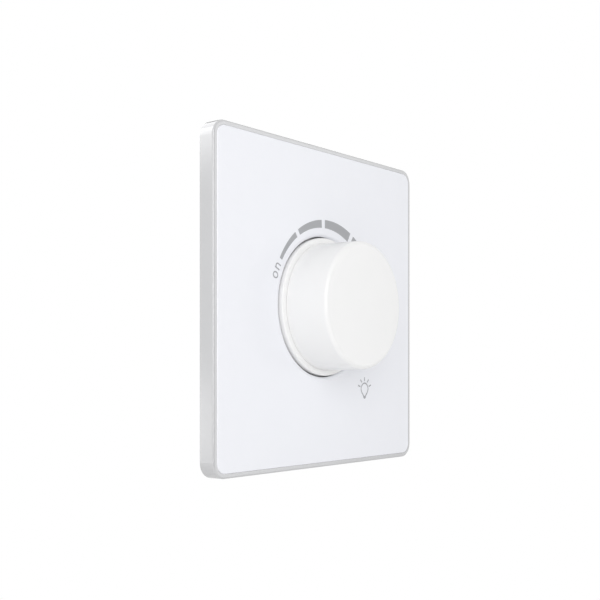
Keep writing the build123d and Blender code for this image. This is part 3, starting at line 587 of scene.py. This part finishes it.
class DIMMER_OT_print_letters(bpy.types.Operator):
    """Prints the word on, with its feet towards the knob"""

    bl_idname = "dimmer.print_letters"
    bl_label = "Print On Mark"

    def execute(self, context):
        marks = context.scene.dimmer_print
        half = marks.letter_height / 2
        crown = half - marks.stroke / 2
        bowl = marks.letter_width / 2
        # The o is an oval, and the n is a stem with an arch.
        ring = [(bowl * 1.16 * cos(turn * pi / 4), crown * 1.14 * sin(turn * pi / 4)) for turn in range(8)]
        stem = [(-bowl, -half), (-bowl, 0), (-bowl, half)]
        arch = [(-bowl, crown * 0.4), (-bowl * 0.5, crown * 0.9), (bowl * 0.35, crown * 0.95),
                (bowl, crown * 0.3), (bowl, -crown * 0.3), (bowl, -half)]
        form = bmesh.new()
        for place, lines in ((-0.5, [(ring, True)]), (0.5, [(stem, False), (arch, False)])):
            angle = marks.letter_place - place * marks.letter_pitch
            for line, closed in lines:
                points = [(cos(angle) * (marks.letter_radius + up) + sin(angle) * along,
                           sin(angle) * (marks.letter_radius + up) - cos(angle) * along)
                          for along, up in line]
                stroke(form, points, marks.stroke, marks.film, closed)
        printed("on_mark", form, context.scene)
        return {"FINISHED"}


class DIMMER_OT_print_lamp(bpy.types.Operator):
    """Prints the sign of a shining lamp"""

    bl_idname = "dimmer.print_lamp"
    bl_label = "Print Lamp Sign"

    def execute(self, context):
        marks = context.scene.dimmer_print
        # Points in millimetres from the middle of the sign. The globe's left side mirrors its right one.
        side = [(0.38, -2.2), (0.8, -1.73), (1.43, -0.95), (1.69, 0.05), (1.17, 0.98)]
        globe = [(-x, z) for x, z in side] + [(0, 1.5)] + side[::-1]
        rays = [[(0, 3.17), (0, 2.12)]]
        for way in (-1, 1):
            rays.append([(way * 2.05, 2.51), (way * 1.26, 1.72)])
            rays.append([(way * 3.15, 0.95), (way * 2.05, 0.5)])
        foot = [(0, -2.15), (0, -2.5), (0, -2.92)]
        foot_taper = (3.6, 3.3, 1.5)
        lines = [(globe, None), (foot, foot_taper), *[(ray, None) for ray in rays]]
        form = bmesh.new()
        for line, taper in lines:
            points = [(marks.lamp_place[0] + x * MM, marks.lamp_place[1] + z * MM) for x, z in line]
            stroke(form, points, marks.stroke, marks.film, taper=taper)
        printed("lamp_sign", form, context.scene)
        return {"FINISHED"}


class DIMMER_OT_finish_front(bpy.types.Operator):
    """Gives the panel, the knob and the trim frame their finishes"""

    bl_idname = "dimmer.finish_front"
    bl_label = "Finish Front"

    def execute(self, context):
        colours = context.scene.dimmer_finish
        wear("panel_white", moulded(colours.panel, gloss=0.24, grain=2.5, depth=0.002, mottle=0.006))
        wear("knob_white", moulded(colours.knob, gloss=0.24, grain=0.2, depth=0.003, mottle=0.008))
        wear("trim_silver", painted_silver(colours.trim))
        return {"FINISHED"}


class DIMMER_OT_round_mouth(bpy.types.Operator):
    """Rounds the edge of the panel's opening, in which the knob turns"""

    bl_idname = "dimmer.round_mouth"
    bl_label = "Round Panel Opening"

    def execute(self, context):
        fit = context.scene.dimmer_fit
        form = merged_copy("front_panel")
        outline, ring = self.take_off_front(form)
        hole = from_axis(ring[0].verts[0])
        for vert in {vert for edge in ring for vert in edge.verts}:
            vert.co.y = PANEL_FRONT + fit.mouth_depth
        for step in range(fit.mouth_steps):
            turn = pi / 2 * (step + 1) / fit.mouth_steps
            radius = hole + fit.mouth_width * (1 - cos(turn))
            ring = self.raise_ring(form, ring, radius, fit.mouth_depth * (1 - sin(turn)))
        bmesh.ops.triangle_fill(form, edges=outline + ring, use_beauty=True, normal=(0, -1, 0))
        bmesh.ops.recalc_face_normals(form, faces=form.faces)
        stand_in("rounded_panel", form, "front_panel", "wall_plate", context.scene)
        return {"FINISHED"}

    def take_off_front(self, form):
        """Removes the panel's front and the opening's chamfer, and gives the edges they leave bare."""
        front = {vert for vert in form.verts if vert.co.y < PANEL_FRONT + HAIR}
        # A radius that lies between the opening and the panel's outline.
        between = CAD_BOX[1].x / 2
        rim = {vert for vert in front if from_axis(vert) < between}
        faces = [face for face in form.faces
                 if front.issuperset(face.verts) or not rim.isdisjoint(face.verts)]
        bmesh.ops.delete(form, geom=faces, context="FACES")
        bare = [edge for edge in form.edges if edge.is_boundary]
        outline = [edge for edge in bare if edge.verts[0].co.y < PANEL_FRONT + HAIR]
        ring = [edge for edge in bare if edge.verts[0].co.y > PANEL_FRONT + HAIR]
        return outline, ring

    def raise_ring(self, form, ring, radius, depth):
        """Adds a smooth strip from a ring of edges to a radius and a depth, and gives its new edges."""
        made = bmesh.ops.extrude_edge_only(form, edges=ring)["geom"]
        verts = {part for part in made if isinstance(part, bmesh.types.BMVert)}
        for vert in verts:
            vert.co *= radius / from_axis(vert)
            vert.co.y = PANEL_FRONT + depth
        for face in {face for vert in verts for face in vert.link_faces}:
            face.smooth = True
        return [part for part in made
                if isinstance(part, bmesh.types.BMEdge) and verts.issuperset(part.verts)]


class DIMMER_OT_sink_skirt(bpy.types.Operator):
    """Carries the knob's skirt further down into the panel's opening"""

    bl_idname = "dimmer.sink_skirt"
    bl_label = "Sink Knob Skirt"

    def execute(self, context):
        form = merged_copy("knob")
        widest = max(from_axis(vert) for vert in form.verts)
        foot = max(vert.co.y for vert in form.verts if from_axis(vert) > widest - HAIR)
        corners = [vert for vert in form.verts
                   if abs(vert.co.y - foot) < HAIR and from_axis(vert) > widest / 2]
        bmesh.ops.translate(form, verts=corners, vec=(0, context.scene.dimmer_fit.skirt_sink, 0))
        stand_in("sunk_knob", form, "knob", "turning_knob", context.scene)
        return {"FINISHED"}


class DIMMER_OT_finish_mouldings(bpy.types.Operator):
    """Gives the module's box and the control's mouldings their finishes"""

    bl_idname = "dimmer.finish_mouldings"
    bl_label = "Finish Mouldings"

    def execute(self, context):
        housing = context.scene.dimmer_finish.housing
        wear("housing_plastic", moulded(housing, gloss=0.46, depth=0.008, mottle=0.02))
        wear("nylon_white", moulded(slot_colour("nylon_white"), gloss=0.4, mottle=0.03))
        wear("phenolic_brown", moulded(slot_colour("phenolic_brown"), gloss=0.35, grain=0.6, mottle=0.2))
        return {"FINISHED"}


class DIMMER_OT_finish_metal(bpy.types.Operator):
    """Gives the sheet, turned and wire pieces their finishes"""

    bl_idname = "dimmer.finish_metal"
    bl_label = "Finish Metal"

    def execute(self, context):
        for slot, gloss, spangle in (("yoke_steel", 0.36, 4.0), ("spring_steel", 0.28, 1.5),
                                     ("sink_aluminium", 0.34, 2.0), ("tinned_wire", 0.3, 0.8)):
            wear(slot, rolled_sheet(slot_colour(slot), gloss, spangle))
        for slot, gloss in (("plated_brass", 0.24), ("contact_brass", 0.28), ("screw_steel", 0.32)):
            wear(slot, turned_metal(slot_colour(slot), gloss))
        return {"FINISHED"}


class DIMMER_OT_finish_circuit(bpy.types.Operator):
    """Gives the circuit board and its components their finishes"""

    bl_idname = "dimmer.finish_circuit"
    bl_label = "Finish Circuit"

    def execute(self, context):
        wear("board_green", masked_board(slot_colour("board_green")))
        wear("winding_copper", wound_wire(slot_colour("winding_copper")))
        wear("fuse_ceramic", capped_tube(slot_colour("fuse_ceramic")))
        wear("resistor_beige", ringed_resistor(slot_colour("resistor_beige")))
        for slot, gloss, mottle in (("epoxy_black", 0.5, 0.2), ("capacitor_yellow", 0.35, 0.04),
                                    ("ferrite_grey", 0.6, 0.25), ("capacitor_green", 0.28, 0.08),
                                    ("diac_blue", 0.2, 0.1)):
            wear(slot, moulded(slot_colour(slot), gloss, mottle=mottle))
        return {"FINISHED"}


# Each lamp's name, the setting of its power, its width, its place, and the kind of ray that misses it.
LAMPS = (
    ("key_lamp", "key", 0.45, (-0.33, -0.33, 0.12), None),
    ("fill_lamp", "fill", 0.4, (0.41, -0.31, 0.03), "visible_glossy"),
    ("shine_lamp", "shine", 0.34, (0.30, -0.36, 0.04), "visible_diffuse"),
    ("shine_lamp_high", "shine_high", 0.2, (0.37, -0.31, 0.18), "visible_diffuse"),
    ("top_lamp", "top", 0.5, (-0.05, 0.42, 0.42), None),
    ("top_lamp_left", "top_left", 0.25, (-0.308, 0.404, 0.393), None),
    ("side_lamp_high", "side_high", 0.16, (-0.36, 0.35, 0.21), None),
    ("side_lamp_low", "side_low", 0.08, (-0.36, 0.35, -0.055), None),
)

# Each dark card's name, width, height and place.
CARDS = (
    ("card_front", 0.6, 0.5, (-0.01, -0.5, 0)),
    ("card_right", 0.36, 0.36, (0.4, 0.4, 0.215)),
)


class DIMMER_OT_set_stage(bpy.types.Operator):
    """Sets up the camera, the lamps, the white surround, the wall and the floor"""

    bl_idname = "dimmer.set_stage"
    bl_label = "Set Stage"

    def execute(self, context):
        scene = context.scene
        stage = scene.dimmer_stage
        scene.view_settings.view_transform = "Standard"
        self.place_camera(scene, stage)
        self.light_surround(scene, stage)
        for name, power, width, place, missed_by in LAMPS:
            self.hang_lamp(scene, name, getattr(stage, power), width, place, missed_by)
        dark = self.dark_material()
        for name, width, height, place in CARDS:
            self.hang_card(scene, name, width, height, place, dark)
        self.raise_wall(scene, stage)
        self.lay_floor(scene, stage)
        return {"FINISHED"}

    def place_camera(self, scene, stage):
        """A level camera whose picture is shifted upwards."""
        lens = bpy.data.cameras.new("view")
        lens.lens = stage.lens
        lens.sensor_width = 36
        lens.sensor_fit = "HORIZONTAL"
        lens.shift_y = stage.rise
        lens.clip_start = 0.01
        camera = bpy.data.objects.new("view", lens)
        camera.location = stage.eye
        camera.rotation_euler = (pi / 2, 0, stage.turn)
        scene.collection.objects.link(camera)
        scene.camera = camera

    def light_surround(self, scene, stage):
        """A surround that is white to look at and gives an even light."""
        world = bpy.data.worlds.new("surround")
        world.use_nodes = True
        scene.world = world
        shader = Shader(world.node_tree)
        even = shader.node("ShaderNodeBackground", None, {"Color": WHITE, "Strength": stage.sky})
        white = shader.node("ShaderNodeBackground", None, {"Color": WHITE, "Strength": 1.0})
        surround = shader.node("ShaderNodeMixShader", None, {0: seen_directly(shader), 1: even, 2: white})
        shader.node("ShaderNodeOutputWorld", None, {"Surface": surround})

    def hang_lamp(self, scene, name, power, width, place, missed_by):
        """A round lamp that points at the plate's middle."""
        light = bpy.data.lights.new(name, "AREA")
        light.shape = "DISK"
        light.size = width
        light.energy = power
        lamp = bpy.data.objects.new(name, light)
        lamp.location = place
        lamp.rotation_euler = (-Vector(place)).to_track_quat("-Z", "Y").to_euler()
        if missed_by:
            setattr(lamp, missed_by, False)
        scene.collection.objects.link(lamp)

    def dark_material(self):
        """The dull black of the cards."""
        material, shader = bare_material("dark_card")
        dull = shader.node("ShaderNodeBsdfDiffuse", None, {"Color": (0.03, 0.03, 0.03, 1)})
        shader.node("ShaderNodeOutputMaterial", None, {"Surface": dull})
        return material

    def hang_card(self, scene, name, width, height, place, material):
        """A dark card that shows only in reflections and gives the trim's edges their outline."""
        form = bmesh.new()
        bmesh.ops.create_grid(form, x_segments=1, y_segments=1, size=0.5)
        bmesh.ops.scale(form, verts=form.verts, vec=(width, height, 1))
        facing = (-Vector(place)).to_track_quat("Z", "Y").to_matrix().to_4x4()
        bmesh.ops.transform(form, verts=form.verts, matrix=Matrix.Translation(place) @ facing)
        card = make_piece(name, form, material, scene)
        card.visible_camera = False
        card.visible_diffuse = False
        card.visible_transmission = False
        card.visible_shadow = False

    def raise_wall(self, scene, stage):
        """The wall that the plate is fixed to: white to the camera in front of it, clear from behind."""
        form = bmesh.new()
        bmesh.ops.create_grid(form, x_segments=1, y_segments=1, size=stage.wall_size / 2)
        bmesh.ops.rotate(form, verts=form.verts, cent=(0, 0, 0), matrix=Matrix.Rotation(pi / 2, 3, "X"))
        bmesh.ops.translate(form, verts=form.verts, vec=(0, stage.wall_gap, 0))
        material, shader = bare_material("white_wall")
        behind = shader.node("ShaderNodeNewGeometry", output="Backfacing")
        white = shader.node("ShaderNodeEmission", None, {"Color": WHITE, "Strength": 1.0})
        clear = shader.node("ShaderNodeBsdfTransparent")
        surface = shader.node("ShaderNodeMixShader", None, {0: behind, 1: white, 2: clear})
        shader.node("ShaderNodeOutputMaterial", None, {"Surface": surface})
        wall = make_piece("wall", form, material, scene)
        wall.visible_diffuse = False
        wall.visible_glossy = False
        wall.visible_transmission = False
        wall.visible_shadow = False

    def lay_floor(self, scene, stage):
        """A pale floor that fades to white towards its edge."""
        form = bmesh.new()
        bmesh.ops.create_circle(form, cap_ends=True, segments=96, radius=stage.floor_radius)
        bmesh.ops.translate(form, verts=form.verts, vec=(0, 0, -stage.floor_drop))
        material, shader = bare_material("pale_floor")
        across = shader.along("X")
        back = shader.along("Y")
        # The square of the distance from the middle, as a share of the whole floor's.
        reach = (across * across + back * back) * (1 / stage.floor_radius ** 2)
        fade = shader.node("ShaderNodeMapRange", {"interpolation_type": "SMOOTHSTEP"}, {
            "Value": reach, "From Min": 0.03, "From Max": 0.7})
        pale = shader.node("ShaderNodeBsdfDiffuse", None, {"Color": (*stage.floor, 1)})
        white = shader.node("ShaderNodeEmission", None, {"Color": WHITE, "Strength": 1.0})
        ground = shader.node("ShaderNodeMixShader", None, {
            0: fade * seen_directly(shader), 1: pale, 2: white})
        shader.node("ShaderNodeOutputMaterial", None, {"Surface": ground})
        floor = make_piece("floor", form, material, scene)


OPERATORS = (
    DIMMER_OT_set_stage,
    DIMMER_OT_finish_front,
    DIMMER_OT_round_mouth,
    DIMMER_OT_sink_skirt,
    DIMMER_OT_finish_mouldings,
    DIMMER_OT_finish_metal,
    DIMMER_OT_finish_circuit,
    DIMMER_OT_print_scale,
    DIMMER_OT_print_letters,
    DIMMER_OT_print_lamp,
)


class VIEW3D_PT_dimmer(bpy.types.Panel):
    """Lists the dimmer's sizes, colours and steps"""

    bl_label = "Dimmer"
    bl_space_type = "VIEW_3D"
    bl_region_type = "UI"
    bl_category = "Dimmer"

    def draw(self, context):
        scene = context.scene
        for settings in (scene.dimmer_print, scene.dimmer_fit, scene.dimmer_finish, scene.dimmer_stage):
            column = self.layout.column(align=True)
            for name in settings.__annotations__:
                column.prop(settings, name)
        for operator in OPERATORS:
            self.layout.operator(operator.bl_idname)


CLASSES = (PrintSettings, FitSettings, FinishSettings, StageSettings, *OPERATORS, VIEW3D_PT_dimmer)


def register():
    for entry in CLASSES:
        bpy.utils.register_class(entry)
    bpy.types.Scene.dimmer_print = PointerProperty(type=PrintSettings)
    bpy.types.Scene.dimmer_fit = PointerProperty(type=FitSettings)
    bpy.types.Scene.dimmer_finish = PointerProperty(type=FinishSettings)
    bpy.types.Scene.dimmer_stage = PointerProperty(type=StageSettings)


def unregister():
    del bpy.types.Scene.dimmer_stage
    del bpy.types.Scene.dimmer_finish
    del bpy.types.Scene.dimmer_fit
    del bpy.types.Scene.dimmer_print
    for entry in reversed(CLASSES):
        bpy.utils.unregister_class(entry)


def main():
    register()
    bpy.ops.dimmer.set_stage()
    bpy.ops.dimmer.finish_front()
    bpy.ops.dimmer.round_mouth()
    bpy.ops.dimmer.sink_skirt()
    bpy.ops.dimmer.finish_mouldings()
    bpy.ops.dimmer.finish_metal()
    bpy.ops.dimmer.finish_circuit()
    bpy.ops.dimmer.print_scale()
    bpy.ops.dimmer.print_letters()
    bpy.ops.dimmer.print_lamp()


if __name__ == "__main__":
    main()
